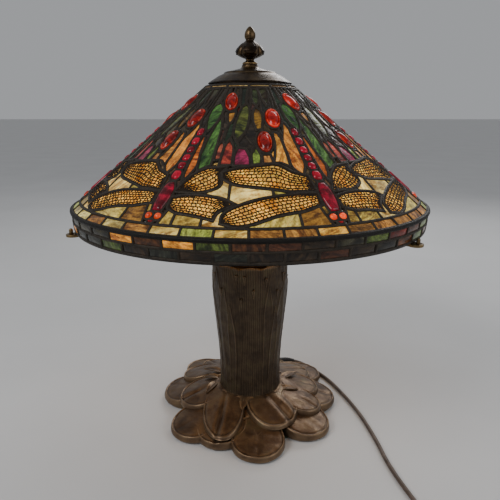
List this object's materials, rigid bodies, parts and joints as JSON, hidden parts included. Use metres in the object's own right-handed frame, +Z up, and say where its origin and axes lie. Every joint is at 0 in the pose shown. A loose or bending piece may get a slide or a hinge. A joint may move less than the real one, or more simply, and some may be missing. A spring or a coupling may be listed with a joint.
{
  "type": "table lamp",
  "caption": "Table lamp with a leaded dragonfly-pattern glass cone shade, vase cap and finial on a reeded bronze column with a lily-pad base.",
  "frame": {"origin": "centre of the felt's underside, on the lamp's axis", "axes": "+Z up along the lamp's axis, -Y the front"},
  "size_m": [0.5856, 0.6036, 0.585],
  "materials": {
    "bronze": "dark patina, olive-gold on the raised parts",
    "felt": "dense wool felt",
    "steel": "zinc plated",
    "brass": "satin",
    "arm_brass": "aged",
    "black_rubber": "matt",
    "cord_cover": "smooth brown",
    "plug_plastic": "brown moulded",
    "lead_came": "dark patinated solder",
    "filigree": "dark pierced sheet",
    "ground_glass": "mottled, rippled",
    "filler_glass": "mottled opalescent",
    "blade_glass": "streaky, rippled",
    "jewel_glass": "pressed, glossy",
    "wing_glass": "opalescent amber",
    "body_glass": "crimson, glossy",
    "eye_glass": "orange-red, glossy",
    "brick_glass": "mottled opalescent",
    "bulb_glass": "frosted"
  },
  "bodies": {
    "stand": {"base_felt": "felt", "base_casting": "bronze", "base_cover_plate": "steel", "cover_screws": "steel", "cord_grommet": "black_rubber", "column_casting": "bronze", "column_collar": "bronze", "centre_pipe": "brass", "riser_pipe": "brass", "pipe_washer": "steel", "pipe_nuts": "steel", "cluster_body": "brass", "socket_nipple_1": "brass", "socket_nipple_2": "brass", "socket_nipple_3": "brass", "socket_shell_1": "brass", "socket_shell_2": "brass", "socket_shell_3": "brass", "cord": "cord_cover", "cord_coil": "cord_cover", "cord_tail": "cord_cover", "plug_body": "plug_plastic", "plug_blades": "brass"},
    "shade_carrier": {"hub_ring": "arm_brass", "support_arm_1": "arm_brass", "support_arm_2": "arm_brass", "support_arm_3": "arm_brass", "arm_screws": "arm_brass", "rim_studs": "arm_brass"},
    "shade": {"aperture_ring": "arm_brass", "rim_band": "lead_came", "corner_came": "lead_came", "top_strip_glass": "ground_glass", "ground_glass": "ground_glass", "filler_glass": "filler_glass", "blade_glass": "blade_glass", "jewel_glass": "jewel_glass", "wing_glass": "wing_glass", "wing_filigree": "filigree", "wing_came": "lead_came", "tail_beads": "body_glass", "thorax_glass": "body_glass", "eye_glass": "eye_glass", "head_glass": "eye_glass", "brick_row_b_glass": "brick_glass", "brick_row_c_glass": "brick_glass", "brick_row_d_glass": "brick_glass", "brick_came": "lead_came", "field_came": "lead_came"},
    "cap": {"vase_cap": "bronze"},
    "finial": {"finial": "bronze"},
    "pull_1": {"pull_chain_1": "brass"},
    "pull_2": {"pull_chain_2": "brass"},
    "pull_3": {"pull_chain_3": "brass"},
    "bulb_1": {"bulb_base_1": "steel", "bulb_glass_1": "bulb_glass"},
    "bulb_2": {"bulb_base_2": "steel", "bulb_glass_2": "bulb_glass"},
    "bulb_3": {"bulb_base_3": "steel", "bulb_glass_3": "bulb_glass"}
  },
  "joints": [
    {"name": "shade_turn", "type": "hinge", "parent": "stand", "child": "shade_carrier", "pos_m": [0, 0, 0.25], "axis": [0, 0, 1], "continuous": true},
    {"name": "shade_lift", "type": "slide", "parent": "shade_carrier", "child": "shade", "axis": [0, 0, 1], "range_m": [0, 0.2]},
    {"name": "cap_lift", "type": "slide", "parent": "shade", "child": "cap", "axis": [0, 0, 1], "range_m": [0, 0.06]},
    {"name": "finial_turn", "type": "hinge", "parent": "cap", "child": "finial", "pos_m": [0, 0, 0.54], "axis": [0, 0, 1], "range_deg": [0, 1800]},
    {"name": "chain_pull_1", "type": "slide", "parent": "stand", "child": "pull_1", "axis": [0, 0, -1], "range_m": [0, 0.008], "stiffness_N_per_m": 200, "springref_m": -0.002},
    {"name": "chain_pull_2", "type": "slide", "parent": "stand", "child": "pull_2", "axis": [0, 0, -1], "range_m": [0, 0.008], "stiffness_N_per_m": 200, "springref_m": -0.002},
    {"name": "chain_pull_3", "type": "slide", "parent": "stand", "child": "pull_3", "axis": [0, 0, -1], "range_m": [0, 0.008], "stiffness_N_per_m": 200, "springref_m": -0.002},
    {"name": "bulb_unscrew_1", "type": "hinge", "parent": "stand", "child": "bulb_1", "pos_m": [0, 0, 0.401], "axis": [0.302, -0.8297, -0.4695], "range_deg": [0, 720]},
    {"name": "bulb_unscrew_2", "type": "hinge", "parent": "stand", "child": "bulb_2", "pos_m": [0, 0, 0.401], "axis": [0.5675, 0.6764, -0.4695], "range_deg": [0, 720]},
    {"name": "bulb_unscrew_3", "type": "hinge", "parent": "stand", "child": "bulb_3", "pos_m": [0, 0, 0.401], "axis": [-0.8695, 0.1533, -0.4695], "range_deg": [0, 720]}
  ]
}
